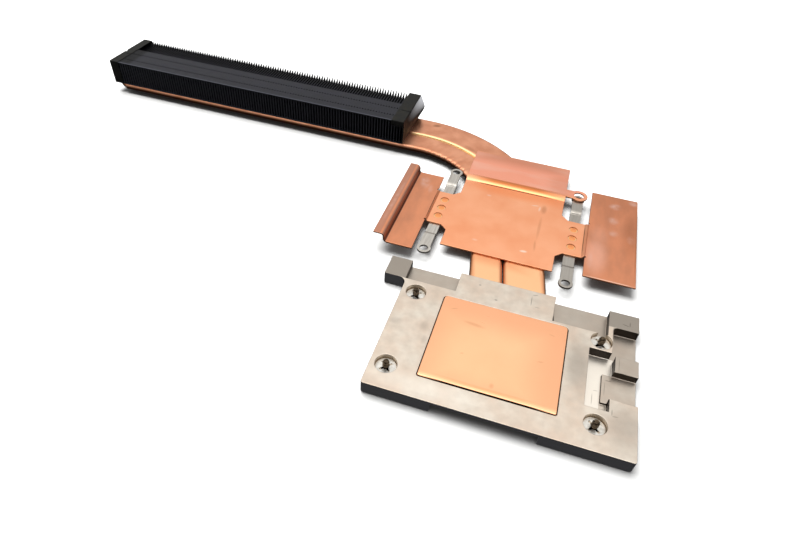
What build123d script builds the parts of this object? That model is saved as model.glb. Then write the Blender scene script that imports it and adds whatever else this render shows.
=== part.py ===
from build123d import *
import math
import os

# Two-chip laptop heatsink, lying with its contact faces up, in millimetres.
# The origin is the centre of the copper block's contact face. +Z leaves that face,
# +Y runs from the cast frame to the fin stack, and the fins run off towards -X.

# Heights and sheet thicknesses
block_thick = 1.5
block_proud = 0.3        # block face above the frame's top face
frame_thick = 4.7
pipe_thick = 2.8
step_rise = 1.0          # pipes and back panel step up behind the processor panel
step_run = 1.4
step_crown = 3.3         # round top of the step, inside the sheet
sheet_thick = 0.6
wing_rise = 0.8
lip_rise = 3.2
arm_thick = 0.8
arm_rise = 0.8           # eyelets above the arm's middle
fin_height = 10.0
fin_sheet = 0.2
tape_thick = 0.2
solder_gap = 0.03        # between neighbouring fin flanges
cut_past = 1.0           # cutters run this far past a face

# Copper contact block in its window
block_width = 38.2
block_depth = 32.1
block_back_corner = 1.1
block_front_corner = 0.4
lap_run = 1.5            # contact face rounds off towards its front edge
lap_drop = 0.33
lap_flats = 3
window_gap = 0.3

# Cast frame, measured from the block's centre
frame_left = 33.0
frame_right = 40.1
frame_front = 23.5
frame_back = 28.1
frame_corner = 0.7
foot_chamfer = 0.4
prong_reach = 7.4        # left prong beyond the frame's left edge
prong_depth = 8.7
prong_fillet = 2.4
right_prong_width = 9.1
right_prong_depth = 6.7
tab_left = 16.7
tab_right = 14.3
ledge_drop = 2.9         # lowered ledges at the back edge
ledge_past = 0.2         # left ledge runs this far past the frame's left edge
left_ledge_run = 8.7
right_ledge_run = 10.6   # breaks into the pocket of the rear right screw
trough_depth = 3.2       # deep component recess beside the block
trough_left = 26.0
trough_front = -10.2
trough_back = 10.8
recess_left = 32.5       # recess between the side block and the right prong
side_block_width = 6.6
side_block_front = 4.0
side_block_back = 10.0
shelf_depth = 2.4
shelf_left = 30.6
shelf_front = -6.0
trough_corner_right = 32.5   # deep corner in front of the shelf
recess_fillet = 0.25
recess_round = 1.4       # inner corner beside the right prong

# Captive screws of the frame
screw_span_x = 57.6
screw_span_y = 29.8
screw_centre = (0.5, -0.4)
screw_radius = 1.0
screw_neck_radius = 0.75  # turned down under the thread, so that the washer holds the screw
screw_tip_height = 1.2   # thread end above the frame's top face
screw_tip_cone = 0.35
screw_head_radius = 1.9
screw_head_height = 0.9
screw_head_chamfer = 0.2
cross_width = 0.45
cross_length = 2.2
cross_depth = 0.5
pocket_radius = 3.2
pocket_depth = 1.8
head_clear = 0.3         # around and above the head
shank_clear = 0.3
retainer_radius = 2.9
retainer_thick = 0.4
retainer_slit = 0.65
retainer_slit_reach = 2.1
retainer_clear = 0.1     # running gap around the neck
retainer_float = 0.2     # thread above the washer

# Heat pipes, flattened from round tube
narrow_tube = 8.0
wide_tube = 10.0
pipe_gap = 0.2
seam_x = -0.4            # line between the pipes under the block
pipe_front_inset = 2.5   # pipe tips behind the frame's front edge
set_bend_y = 9.0         # start of the slight set to the left
set_bend_radius = 60.0
lean_angle = 9.5
lean_length = 53.3
main_bend_radius = 42.8
pipe_tip_inset = 1.2     # far tips, inside the end of the fin stack
nose_length = 4.0
nose_share = 0.55        # nose width as a share of the pipe's
nose_flat_share = 0.8    # nose thickness as a share of the pipe's
channel_side = 2.0       # frame channel beyond the pipes
step_clear = 0.3         # the pipes' step starts and ends this far behind the sheet's

# Processor plate, one stamped copper sheet
panel_left = 27.3
panel_right = 11.6
panel_front_y = 40.5
step_y = 82.0
back_panel_depth = 20.2
neck_front_y = 51.1
neck_back_y = 70.4
neck_cut = 2.4           # corner cuts where the necks leave the panel
sheet_bend = 0.35        # inside bend radius
fold_overlap = 1.0       # flat sheet either side of a wing's fold
lip_bend = 0.9
left_fold_x = -35.1
left_fold_run = 0.5      # steep rise up to the left wing
left_wing_width = 10.6
left_wing_front_y = 33.8
left_wing_back_y = 79.0
lip_width = 3.8
right_fold_x = 20.3
right_fold_run = 1.1     # gentle slope up to the right wing
right_wing_width = 18.4
right_wing_front_y = 41.2
right_wing_back_y = 91.3
relief_size = 0.8
lug_radius = 3.3
lug_hole_radius = 1.85
lug_neck_width = 5.0
lug_shift = 1.4          # ring's centre behind the eyelet's
clinch_pitch = 5.0
clinch_radius = 1.5
clinch_depth = 0.4
clinch_crown = 0.12      # floor of a clinch rises in the middle
button_radius = 1.05

# Spring arms under the necks
arm_span_x = 48.4
arm_span_y = 48.9
arm_centre_x = -7.7
arm_width = 4.0
arm_bend = 0.3
arm_crown = 1.2          # round top of the joggles, inside the strip
eyelet_radius = 2.4
eyelet_hole_radius = 1.45
eyelet_level = 8.3       # flat length from the eyelet's centre to the joggle
joggle_run = 0.9
button_clear = 0.05
arm_clear = 0.1          # between an arm and the side of the narrow pipe

# Fin stack on the pipes
fin_count = 114
fin_pitch = 1.225
fin_bend_gap = 6.4       # from the end of the pipes' bend to the first fin
fin_front_inset = 0.5    # fins behind the inner pipe's edge
fin_depth = 25.9
strip_depth = 15.0       # closed top strip, from the front edge
open_end_fins = 2        # fins at the far end without a strip flange
lock_width = 0.9
lock_length = 0.45
lock_lines = (4.3, 10.4) # rows of lock notches behind the strip's front edge
left_tape_width = 4.0
right_tape_width = 5.1
right_tape_front_drop = 2.2
tape_slit_y = 9.3         # behind the fins' front edge
tape_slit_width = 0.35
tape_slit_length = 3.8
left_tape_slit_length = 2.2

# Heights that follow from them
frame_top = -block_proud
frame_bottom = frame_top - frame_thick
pipe_top = -block_thick
rear_top = pipe_top + step_rise
panel_top = pipe_top + sheet_thick
back_top = rear_top + sheet_thick
pocket_floor = frame_top - pocket_depth
thread_low = pocket_floor + retainer_thick + retainer_float
head_top = frame_bottom + screw_head_height
eyelet_top = pipe_top + arm_rise
fin_top = rear_top + fin_height

# Length of the step's round top, past the corner of its line
crown_length = (step_crown + sheet_thick / 2) * math.tan(math.atan2(step_rise, step_run) / 2)


def slab(x0, x1, y0, y1, z0, z1):
    centre = ((x0 + x1) / 2, (y0 + y1) / 2, (z0 + z1) / 2)
    return Pos(*centre) * Box(abs(x1 - x0), abs(y1 - y0), abs(z1 - z0))


def flat_rect(x0, x1, y0, y1):
    return Pos((x0 + x1) / 2, (y0 + y1) / 2) * Rectangle(x1 - x0, y1 - y0)


def disc(x, y, radius, z0, z1):
    return Pos(x, y, (z0 + z1) / 2) * Cylinder(radius, z1 - z0)


def flat_width(tube):
    # A round tube pressed flat keeps its girth
    return pipe_thick + math.pi / 2 * (tube - pipe_thick)


narrow_width = flat_width(narrow_tube)
wide_width = flat_width(wide_tube)
narrow_offset = -(pipe_gap + narrow_width) / 2
wide_offset = (pipe_gap + wide_width) / 2
lean = math.radians(lean_angle)
lean_out = Vector(math.cos(lean), math.sin(lean))
lean_on = Vector(-math.sin(lean), math.cos(lean))
set_centre = Vector(seam_x - set_bend_radius, set_bend_y)
bend_centre = (set_centre + lean_out * set_bend_radius + lean_on * lean_length
               - lean_out * main_bend_radius)

# Place of the fin stack on the pipes
fin_right_x = bend_centre.X - fin_bend_gap
fin_left_x = fin_right_x - fin_count * fin_pitch + solder_gap
fin_front_y = bend_centre.Y + main_bend_radius - pipe_gap / 2 - narrow_width + fin_front_inset
fin_back_y = fin_front_y + fin_depth
pipe_tip_x = fin_left_x + pipe_tip_inset

# Middle of the necks, where the arms are clinched
arm_centre_y = (neck_front_y + neck_back_y) / 2
arm_left_x = arm_centre_x - arm_span_x / 2
arm_right_x = arm_centre_x + arm_span_x / 2


def screw_places():
    cx, cy = screw_centre
    for side, x in (("left", cx - screw_span_x / 2), ("right", cx + screw_span_x / 2)):
        for end, y in (("front", cy - screw_span_y / 2), ("rear", cy + screw_span_y / 2)):
            yield f"{end}_{side}", x, y


def pipe_path(offset):
    # Plan line at a distance to the right of the seam: straight under the block, a slight
    # set to the left, a long leaning run, the large bend, then straight under the fins
    set_radius = set_bend_radius + offset
    bend_radius = main_bend_radius + offset
    start = Vector(seam_x + offset, pipe_front_inset + nose_length - frame_front)
    set_start = Vector(seam_x + offset, set_bend_y)
    set_middle = set_centre + Vector(math.cos(lean / 2), math.sin(lean / 2)) * set_radius
    set_end = set_centre + lean_out * set_radius
    bend_start = bend_centre + lean_out * bend_radius
    halfway = (lean + math.pi / 2) / 2
    bend_middle = bend_centre + Vector(math.cos(halfway), math.sin(halfway)) * bend_radius
    bend_end = bend_centre + Vector(0, bend_radius)
    runs = [
        Line(start, set_start),
        ThreePointArc(set_start, set_middle, set_end),
        Line(set_end, bend_start),
        ThreePointArc(bend_start, bend_middle, bend_end),
        Line(bend_end, Vector(pipe_tip_x + nose_length, bend_end.Y)),
    ]
    return Wire(runs)


def pipe_section(plane, width, thick):
    return plane * SlotOverall(width, thick)


def pipe_nose(plane, width):
    # Swaged closed end, from the flat section to a blunt tip
    tip = plane.offset(nose_length)
    return loft([pipe_section(plane, width, pipe_thick),
                 pipe_section(tip, width * nose_share, pipe_thick * nose_flat_share)])


def heat_pipe(offset, width):
    middle_z = pipe_top - pipe_thick / 2
    path = Pos(0, 0, middle_z) * pipe_path(offset)
    start = path @ 0
    end = path @ 1
    start_plane = Plane(origin=start, x_dir=(1, 0, 0), z_dir=(0, 1, 0))
    flat = sweep(pipe_section(start_plane, width, pipe_thick), path=path)
    front_nose = pipe_nose(Plane(origin=start, x_dir=(1, 0, 0), z_dir=(0, -1, 0)), width)
    far_nose = pipe_nose(Plane(origin=end, x_dir=(0, 1, 0), z_dir=(-1, 0, 0)), width)
    # The step is pressed square across both pipes, under the step of the sheet
    reach = abs(pipe_tip_x) * 2
    step_start = step_y + step_clear
    step_end = step_y + step_run + crown_length + step_clear
    low_cut = slab(-reach, reach, -reach, step_start, -reach, reach)
    high_cut = slab(-reach, reach, step_end, reach, -reach, reach)
    low = flat & low_cut
    high = Pos(0, 0, step_rise) * (flat & high_cut)
    low_face = low.faces().filter_by(Plane.XZ).sort_by(Axis.Y)[-1]
    high_face = high.faces().filter_by(Plane.XZ).sort_by(Axis.Y)[0]
    rise = loft([low_face, high_face], ruled=True)
    return low + rise + high + front_nose + Pos(0, 0, step_rise) * far_nose


def pipe_room(offset, width, z0, z1):
    # Straight-sided space along a pipe's line
    path = Pos(0, 0, (z0 + z1) / 2) * pipe_path(offset)
    plane = Plane(origin=path @ 0, x_dir=(1, 0, 0), z_dir=(0, 1, 0))
    return sweep(plane * Rectangle(width, z1 - z0), path=path)


def pipe_channel():
    # Room for both pipes in the underside of the frame, open at its front and back edges
    width = narrow_width + pipe_gap + wide_width + 2 * channel_side
    offset = (wide_width - narrow_width) / 2
    low = frame_bottom - cut_past
    start = pipe_path(offset) @ 0
    mouth = slab(start.X - width / 2, start.X + width / 2, -frame_front - cut_past, start.Y, low, pipe_top)
    return pipe_room(offset, width, low, pipe_top) + mouth


def block_outline(gap):
    outline = Rectangle(block_width + 2 * gap, block_depth + 2 * gap)
    outline = fillet(outline.vertices().group_by(Axis.Y)[-1], block_back_corner + gap)
    return fillet(outline.vertices().group_by(Axis.Y)[0], block_front_corner + gap)


def mounting_frame():
    top, bottom = frame_top, frame_bottom
    plate = slab(-frame_left, frame_right, -frame_front, frame_back, bottom, top)
    corners = plate.edges().filter_by(Axis.Z).group_by(Axis.Y)[0]
    plate = fillet(corners, frame_corner)
    prong_front = frame_back - prong_depth
    prong = slab(-frame_left - prong_reach, -frame_left, prong_front, frame_back, bottom, top)
    frame = plate + prong
    inner = frame.edges().filter_by(Axis.Z).sort_by_distance((-frame_left, prong_front, top))[0]
    frame = fillet(inner, prong_fillet)

    # Lowered ledges at the back edge, either side of the middle tab
    for left, right, run in (
        (-frame_left - ledge_past, -tab_left, left_ledge_run),
        (tab_right, frame_right - right_prong_width, right_ledge_run),
    ):
        frame -= slab(left, right, frame_back - run, frame_back, top - ledge_drop, top)

    # Recesses for the parts beside the chip, along the right-hand side
    side_left = frame_right - side_block_width
    prong_face = frame_back - right_prong_depth
    past = frame_right + cut_past
    deep = flat_rect(trough_left, shelf_left, trough_front, trough_back)
    deep += flat_rect(shelf_left, trough_corner_right, trough_front, shelf_front)
    deep += flat_rect(shelf_left, side_left, side_block_front, trough_back)
    deep += flat_rect(recess_left, past, side_block_back, prong_face)
    round_corner = deep.vertices().sort_by_distance((recess_left, prong_face, 0))[0]
    others = [vertex for vertex in deep.vertices() if vertex != round_corner]
    deep = fillet(others, recess_fillet)
    deep = fillet(deep.vertices().sort_by_distance((recess_left, prong_face, 0))[0], recess_round)
    frame -= Pos(0, 0, top - trough_depth) * extrude(deep, trough_depth)
    frame -= slab(shelf_left, past, shelf_front, side_block_front, top - shelf_depth, top)

    # Seat of the contact block and the channel of the pipes under it
    frame -= Pos(0, 0, pipe_top) * extrude(block_outline(window_gap), top - pipe_top)
    frame -= pipe_channel()

    # Pockets, holes and head seats of the captive screws
    for name, x, y in screw_places():
        frame -= disc(x, y, pocket_radius, pocket_floor, top)
        frame -= disc(x, y, screw_radius + shank_clear, bottom, top)
        frame -= disc(x, y, screw_head_radius + head_clear, bottom, head_top + head_clear)

    front_foot = frame.edges().filter_by(Axis.X).group_by(Axis.Z)[0].group_by(Axis.Y)[0]
    return chamfer(front_foot, foot_chamfer)


def contact_block():
    block = Pos(0, 0, pipe_top) * extrude(block_outline(0), block_thick)
    # The face is level up to the lap line and falls off to the front edge, steeper flat by flat
    front = -block_depth / 2
    shares = [index / lap_flats for index in range(lap_flats + 1)]
    fall = [(front + lap_run * (1 - share), -lap_drop * share ** 2) for share in shares]
    waste = Plane.YZ * Polygon(*fall, (front - cut_past, -lap_drop), (front - cut_past, cut_past),
                               (front + lap_run, cut_past), align=None)
    return block - extrude(waste, block_width, both=True)


def sheet_strip(points, plane, start, end, thick, bends):
    # Bent sheet: the points give the underside of its level runs, on a plane that it is extruded
    # across, and the bends are the inside radii of the corners between them
    middle = [(along, low + thick / 2) for along, low in points]
    line = FilletPolyline(*middle, radius=[bend + thick / 2 for bend in bends])
    return extrude(plane.offset(start) * trace(line, thick), end - start)


def cpu_plate():
    low, back_low = pipe_top, rear_top
    wing_low = low + wing_rise
    back_y = step_y + step_run + back_panel_depth
    across = Plane(origin=(0, 0, 0), x_dir=(0, 1, 0), z_dir=(1, 0, 0))
    along = Plane(origin=(0, 0, 0), x_dir=(1, 0, 0), z_dir=(0, -1, 0))

    # Panel, pressed step and back panel
    spine = [(panel_front_y, low), (step_y, low), (step_y + step_run, back_low), (back_y, back_low)]
    plate = sheet_strip(spine, across, -panel_left, panel_right, sheet_thick, (sheet_bend, step_crown))

    # Necks with cut corners, out to the folds of the wings
    for inner, fold, side in ((-panel_left, left_fold_x, -1), (panel_right, right_fold_x, 1)):
        outline = Polyline(
            (inner - side * fold_overlap, neck_front_y - neck_cut), (inner, neck_front_y - neck_cut),
            (inner + side * neck_cut, neck_front_y), (fold, neck_front_y), (fold, neck_back_y),
            (inner + side * neck_cut, neck_back_y), (inner, neck_back_y + neck_cut),
            (inner - side * fold_overlap, neck_back_y + neck_cut), close=True)
        plate += Pos(0, 0, low) * extrude(make_face(outline), sheet_thick)

    # Wings, folded up from the necks, the left one with a raised lip
    left_edge, right_edge = left_fold_x - left_fold_run, right_fold_x + right_fold_run
    left_fold = [(left_edge - fold_overlap, wing_low), (left_edge, wing_low),
                 (left_fold_x, low), (left_fold_x + fold_overlap, low)]
    right_fold = [(right_fold_x - fold_overlap, low), (right_fold_x, low),
                  (right_edge, wing_low), (right_edge + fold_overlap, wing_low)]
    for points in (left_fold, right_fold):
        plate += sheet_strip(points, along, -neck_back_y, -neck_front_y, sheet_thick,
                             (sheet_bend, sheet_bend))
    lip_x = left_fold_x - left_wing_width
    lip_low = wing_low + lip_rise
    left_wing = [(lip_x - lip_width, lip_low), (lip_x, lip_low), (lip_x, wing_low),
                 (left_edge, wing_low)]
    plate += sheet_strip(left_wing, along, -left_wing_back_y, -left_wing_front_y, sheet_thick,
                         (lip_bend, lip_bend))
    plate += slab(right_edge, right_fold_x + right_wing_width,
                  right_wing_front_y, right_wing_back_y, wing_low, wing_low + sheet_thick)

    # Relief nicks at the ends of the folds
    for x in (left_edge, right_edge):
        for y in (neck_front_y, neck_back_y):
            plate -= slab(x - relief_size / 2, x + relief_size / 2, y - relief_size / 2,
                          y + relief_size / 2, wing_low - relief_size, wing_low + sheet_thick)

    # Lug with its ring, on the corner of the back panel over the rear right eyelet
    lug_x = arm_right_x
    lug_y = arm_centre_y + arm_span_y / 2 + lug_shift
    plate += disc(lug_x, lug_y, lug_radius, back_low, back_top)
    plate += slab(panel_right - fold_overlap, lug_x, lug_y - lug_neck_width / 2, lug_y + lug_neck_width / 2,
                  back_low, back_top)
    plate -= disc(lug_x, lug_y, lug_hole_radius, back_low, back_top)

    # Clinched buttons that hold the arms, each under a round cup with a crowned floor
    crown_radius = (clinch_radius ** 2 + clinch_crown ** 2) / (2 * clinch_crown)
    cup_floor = panel_top - clinch_depth
    for x, y in clinch_places():
        plate += disc(x, y, button_radius, low - arm_thick, low)
        crown = Pos(x, y, cup_floor + clinch_crown - crown_radius) * Sphere(crown_radius)
        plate -= disc(x, y, clinch_radius, cup_floor, panel_top) - crown
    return plate


def clinch_places():
    for x in (arm_left_x, arm_right_x):
        for row in (-1, 0, 1):
            yield x, arm_centre_y + row * clinch_pitch


def spring_arm(x):
    front, back = arm_centre_y - arm_span_y / 2, arm_centre_y + arm_span_y / 2
    low, end_low = pipe_top - arm_thick, eyelet_top - arm_thick
    across = Plane(origin=(0, 0, 0), x_dir=(0, 1, 0), z_dir=(1, 0, 0))
    profile = [(front, end_low), (front + eyelet_level, end_low),
               (front + eyelet_level + joggle_run, low), (back - eyelet_level - joggle_run, low),
               (back - eyelet_level, end_low), (back, end_low)]
    arm = sheet_strip(profile, across, x - arm_width / 2, x + arm_width / 2, arm_thick,
                      (arm_crown, arm_bend, arm_bend, arm_crown))
    for y in (front, back):
        arm += disc(x, y, eyelet_radius, end_low, eyelet_top)
    for y in (front, back):
        arm -= disc(x, y, eyelet_hole_radius, end_low, eyelet_top)
    for clinch_x, clinch_y in clinch_places():
        if abs(clinch_x - x) < arm_width:
            arm -= disc(clinch_x, clinch_y, button_radius + button_clear, low, pipe_top)
    return arm - pipe_room(narrow_offset, narrow_width + 2 * arm_clear, end_low, eyelet_top)


def cooling_fin(closed):
    # One folded fin at the right-hand end: web, foot flange and, on most fins, a strip flange
    web_x = fin_right_x - fin_sheet
    flange_x = fin_right_x - fin_pitch + solder_gap
    fin = slab(web_x, fin_right_x, fin_front_y, fin_back_y, rear_top, fin_top)
    fin += slab(flange_x, web_x, fin_front_y, fin_back_y, rear_top, rear_top + fin_sheet)
    if closed:
        strip_low = fin_top - fin_sheet
        fin += slab(flange_x, web_x, fin_front_y, fin_front_y + strip_depth, strip_low, fin_top)
        for line in lock_lines:
            lock_y = fin_front_y + line
            fin -= slab(flange_x, flange_x + lock_length, lock_y - lock_width / 2,
                        lock_y + lock_width / 2, strip_low, fin_top)
    return fin


def cooling_fins():
    closed_fin = cooling_fin(True)
    open_fin = cooling_fin(False)
    fins = []
    for index in range(fin_count):
        fin = closed_fin if index < fin_count - open_end_fins else open_fin
        fins.append(Pos(-index * fin_pitch, 0, 0) * fin)
    return Compound(children=fins)


def end_tape(outer_x, inner_x, front_drop, slit_from, slit_to):
    # Folded over the end of the stack: end face, top flap, front flap and rear flap
    side = 1 if inner_x > outer_x else -1
    past = outer_x - side * tape_thick
    front, back, top = fin_front_y - tape_thick, fin_back_y + tape_thick, fin_top + tape_thick
    tape = slab(past, outer_x, front, back, rear_top, top)
    tape += slab(outer_x, inner_x, front, back, fin_top, top)
    tape += slab(outer_x, inner_x, front, fin_front_y, fin_top - front_drop, fin_top)
    tape += slab(outer_x, inner_x, fin_back_y, back, rear_top, fin_top)
    slit_y = fin_front_y + tape_slit_y
    tape -= slab(slit_from, slit_to, slit_y, slit_y + tape_slit_width, fin_top, top)
    return tape


def captive_screw(x, y):
    tip = frame_top + screw_tip_height
    thread = disc(x, y, screw_radius, thread_low, tip)
    thread = chamfer(thread.faces().sort_by(Axis.Z)[-1].edges(), screw_tip_cone)
    neck = disc(x, y, screw_neck_radius, head_top, thread_low)
    head = disc(x, y, screw_head_radius, frame_bottom, head_top)
    head = chamfer(head.faces().sort_by(Axis.Z)[0].edges(), screw_head_chamfer)
    screw = thread + neck + head
    for wide, deep in ((cross_length, cross_width), (cross_width, cross_length)):
        screw -= slab(x - wide / 2, x + wide / 2, y - deep / 2, y + deep / 2,
                      frame_bottom, frame_bottom + cross_depth)
    return screw


def screw_retainer(x, y):
    # Slit spring washer that keeps the screw in its pocket
    z0, z1 = pocket_floor, pocket_floor + retainer_thick
    ring = disc(x, y, retainer_radius, z0, z1)
    for angle in (45, 135):
        slit = Box(2 * retainer_slit_reach, retainer_slit, retainer_thick)
        ring -= Pos(x, y, (z0 + z1) / 2) * Rot(0, 0, angle) * slit
    return ring - disc(x, y, screw_neck_radius + retainer_clear, z0, z1)


def build_parts():
    strip_slit = fin_right_x - tape_slit_length
    parts = {
        "mounting_frame": mounting_frame(),
        "contact_block": contact_block(),
        "heat_pipe_narrow": heat_pipe(narrow_offset, narrow_width),
        "heat_pipe_wide": heat_pipe(wide_offset, wide_width),
        "cpu_plate": cpu_plate(),
        "spring_arm_left": spring_arm(arm_left_x),
        "spring_arm_right": spring_arm(arm_right_x),
        "cooling_fins": cooling_fins(),
        "end_tape_left": end_tape(fin_left_x, fin_left_x + left_tape_width, fin_height,
                                  fin_left_x + left_tape_width - left_tape_slit_length,
                                  fin_left_x + left_tape_width),
        "end_tape_right": end_tape(fin_right_x, fin_right_x - right_tape_width, right_tape_front_drop,
                                   strip_slit, fin_right_x),
    }
    for place, x, y in screw_places():
        parts[f"captive_screw_{place}"] = captive_screw(x, y)
        parts[f"screw_retainer_{place}"] = screw_retainer(x, y)
    return parts


os.makedirs("parts", exist_ok=True)
for node, shape in build_parts().items():
    export_step(shape, os.path.join("parts", f"{node}.step"))
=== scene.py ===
import math

import bmesh
import bpy
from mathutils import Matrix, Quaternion, Vector, noise


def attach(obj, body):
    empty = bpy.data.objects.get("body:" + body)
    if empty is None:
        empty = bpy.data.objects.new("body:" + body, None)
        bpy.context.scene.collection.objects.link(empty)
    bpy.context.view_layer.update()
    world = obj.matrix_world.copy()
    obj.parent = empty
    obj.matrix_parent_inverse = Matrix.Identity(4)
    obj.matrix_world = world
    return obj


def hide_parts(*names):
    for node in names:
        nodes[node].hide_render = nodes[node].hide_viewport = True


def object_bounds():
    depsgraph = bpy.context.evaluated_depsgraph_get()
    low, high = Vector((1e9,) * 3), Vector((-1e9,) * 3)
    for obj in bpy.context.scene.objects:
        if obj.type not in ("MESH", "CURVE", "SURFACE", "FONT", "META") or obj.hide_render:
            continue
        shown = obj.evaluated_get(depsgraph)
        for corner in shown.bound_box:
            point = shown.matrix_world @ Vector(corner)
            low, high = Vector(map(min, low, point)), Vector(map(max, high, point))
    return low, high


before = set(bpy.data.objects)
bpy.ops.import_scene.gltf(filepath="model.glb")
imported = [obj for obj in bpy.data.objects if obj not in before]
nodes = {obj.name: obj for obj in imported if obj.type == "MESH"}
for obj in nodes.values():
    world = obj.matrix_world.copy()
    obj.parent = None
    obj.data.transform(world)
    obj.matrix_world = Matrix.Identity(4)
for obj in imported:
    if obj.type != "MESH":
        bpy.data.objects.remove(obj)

cadBox = [list(corner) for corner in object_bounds()]
rootBody = "heatsink"
mm = 0.001
mergeGap = 0.001 * mm
tiny = 0.01  # millimetres, closer than this is the same place
print("frame loaded,", len(nodes), "nodes")


def hexColour(text):
    # sRGB hex to the linear values that shaders use
    shares = [int(text[i:i + 2], 16) / 255 for i in (1, 3, 5)]
    linear = [c / 12.92 if c <= 0.04045 else ((c + 0.055) / 1.055) ** 2.4 for c in shares]
    return (*linear, 1.0)


def addNode(owner, kind, settings=None, inputs=None):
    # a socket given as an input is linked, any other input is set as a value
    tree = owner.node_tree
    node = tree.nodes.new(kind)
    for name, value in (settings or {}).items():
        setattr(node, name, value)
    for name, value in (inputs or {}).items():
        if isinstance(value, bpy.types.NodeSocket):
            tree.links.new(value, node.inputs[name])
        else:
            node.inputs[name].default_value = value
    return node


def newMaterial(name):
    material = bpy.data.materials.new(name)
    material.use_nodes = True
    material.node_tree.nodes.clear()
    return material


def closeMaterial(material, inputs):
    shader = addNode(material, "ShaderNodeBsdfPrincipled", None, inputs)
    addNode(material, "ShaderNodeOutputMaterial", None, {"Surface": shader.outputs[0]})
    return material


def cloudMask(material, place, cloud):
    # random blotches about size millimetres across, drawn out along an axis by a small stretch
    drawn = addNode(material, "ShaderNodeMapping", None, {
        "Vector": place,
        "Scale": cloud.get("stretch", (1, 1, 1)),
    })
    blotches = addNode(material, "ShaderNodeTexNoise", None, {
        "Vector": drawn.outputs[0],
        "Scale": 1 / (cloud["size"] * mm),
        "Detail": cloud.get("detail", 3.0),
    })
    low, high = cloud.get("range", (0.35, 0.65))
    levels = {"Value": blotches.outputs[0], "From Min": low, "From Max": high}
    return addNode(material, "ShaderNodeMapRange", None, levels).outputs[0]


def markMask(material, place, marks):
    # soft marks seen from above: place, half sizes and turn in millimetres and degrees, round or square
    mask = 0.0
    for mark in marks:
        x, y = mark["at"]
        wide, deep = mark["size"]
        mapped = addNode(material, "ShaderNodeMapping", {"vector_type": "TEXTURE"}, {
            "Vector": place,
            "Location": (x * mm, y * mm, 0),
            "Rotation": (0, 0, math.radians(mark.get("turn", 0))),
            "Scale": (wide * mm, deep * mm, 1),
        }).outputs[0]
        if mark.get("square"):
            sides = addNode(material, "ShaderNodeVectorMath", {"operation": "ABSOLUTE"}, {0: mapped})
            parts = addNode(material, "ShaderNodeSeparateXYZ", None, {0: sides.outputs[0]}).outputs
            far = addNode(material, "ShaderNodeMath", {"operation": "MAXIMUM"}, {0: parts[0], 1: parts[1]})
            away = far.outputs[0]
        else:
            far = addNode(material, "ShaderNodeVectorMath", {"operation": "LENGTH"}, {0: mapped})
            away = far.outputs["Value"]
        level = addNode(material, "ShaderNodeMapRange", {"interpolation_type": "SMOOTHSTEP"}, {
            "Value": away,
            "From Min": 1.0,
            "From Max": mark.get("core", 0.2),
            "To Max": mark.get("strength", 1.0),
        })
        most = {0: mask, 1: level.outputs[0]}
        mask = addNode(material, "ShaderNodeMath", {"operation": "MAXIMUM"}, most).outputs[0]
    return mask


def layered(material, colour, layers):
    # each layer is a mask and the colour that it lays over what is under it
    for mask, top in layers:
        pair = {0: mask, 6: colour, 7: hexColour(top)}
        colour = addNode(material, "ShaderNodeMix", {"data_type": "RGBA"}, pair).outputs[2]
    return colour


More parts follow.
